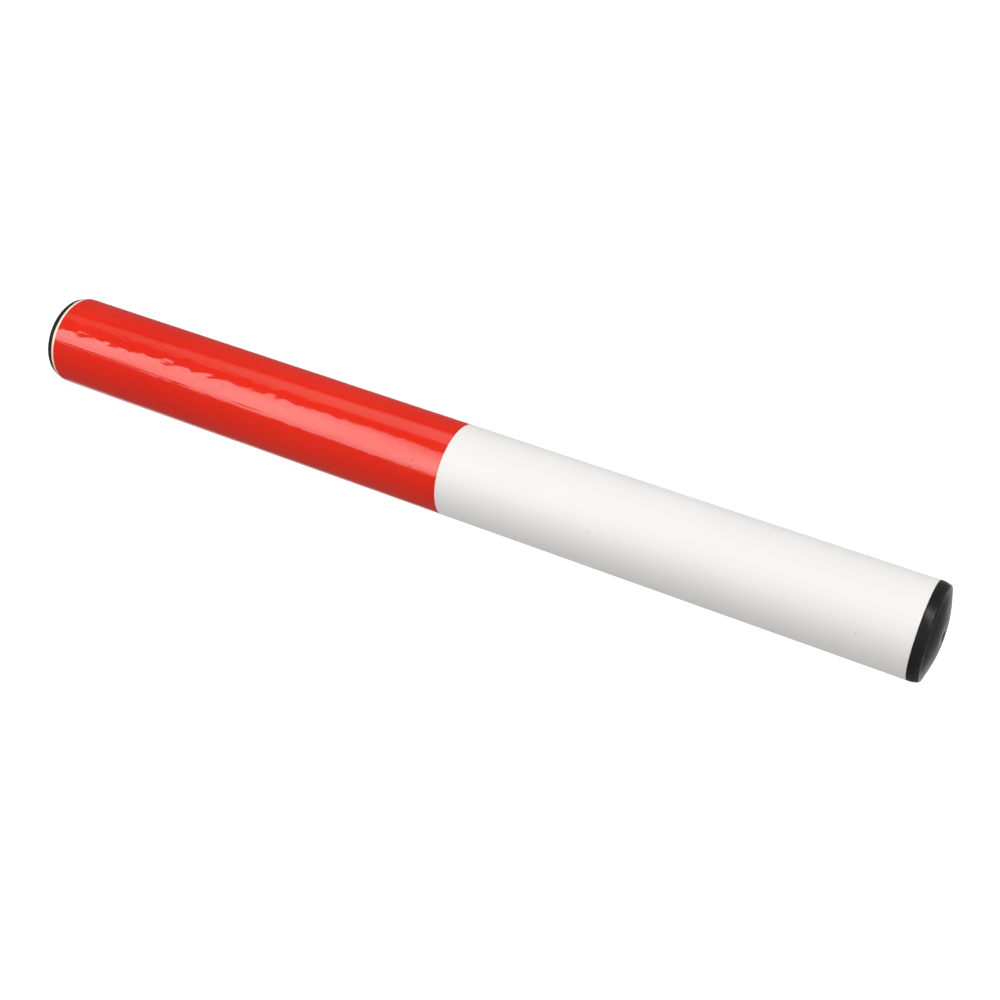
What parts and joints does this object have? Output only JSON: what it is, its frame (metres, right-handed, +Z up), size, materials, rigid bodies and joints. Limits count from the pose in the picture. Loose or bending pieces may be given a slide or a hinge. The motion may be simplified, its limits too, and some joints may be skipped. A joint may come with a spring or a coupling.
{
  "type": "juggling stick",
  "caption": "Straight two-tone juggling stick: a rigid tube wrapped in red and white film, with a moulded black plug pressed into each end.",
  "frame": {"origin": "under the middle of the stick, on the surface it lies on", "axes": "+X along the stick from its red end to its white end, +Z up"},
  "size_m": [0.5242, 0.0506, 0.0506],
  "materials": {
    "bare_tube": "satin extruded rigid tube",
    "red_film": "glossy self-adhesive film",
    "white_film": "matt self-adhesive film",
    "end_plug": "satin moulded, finely textured"
  },
  "bodies": {
    "wrapped_tube": {"core_tube": "bare_tube", "red_film": "red_film", "white_film": "white_film"},
    "red_plug": {"red_end_plug": "end_plug"},
    "white_plug": {"white_end_plug": "end_plug"}
  },
  "joints": [
    {"name": "red_plug_pull", "type": "slide", "parent": "wrapped_tube", "child": "red_plug", "axis": [-1, 0, 0], "range_m": [0, 0.04]},
    {"name": "white_plug_pull", "type": "slide", "parent": "wrapped_tube", "child": "white_plug", "axis": [1, 0, 0], "range_m": [0, 0.04]}
  ]
}
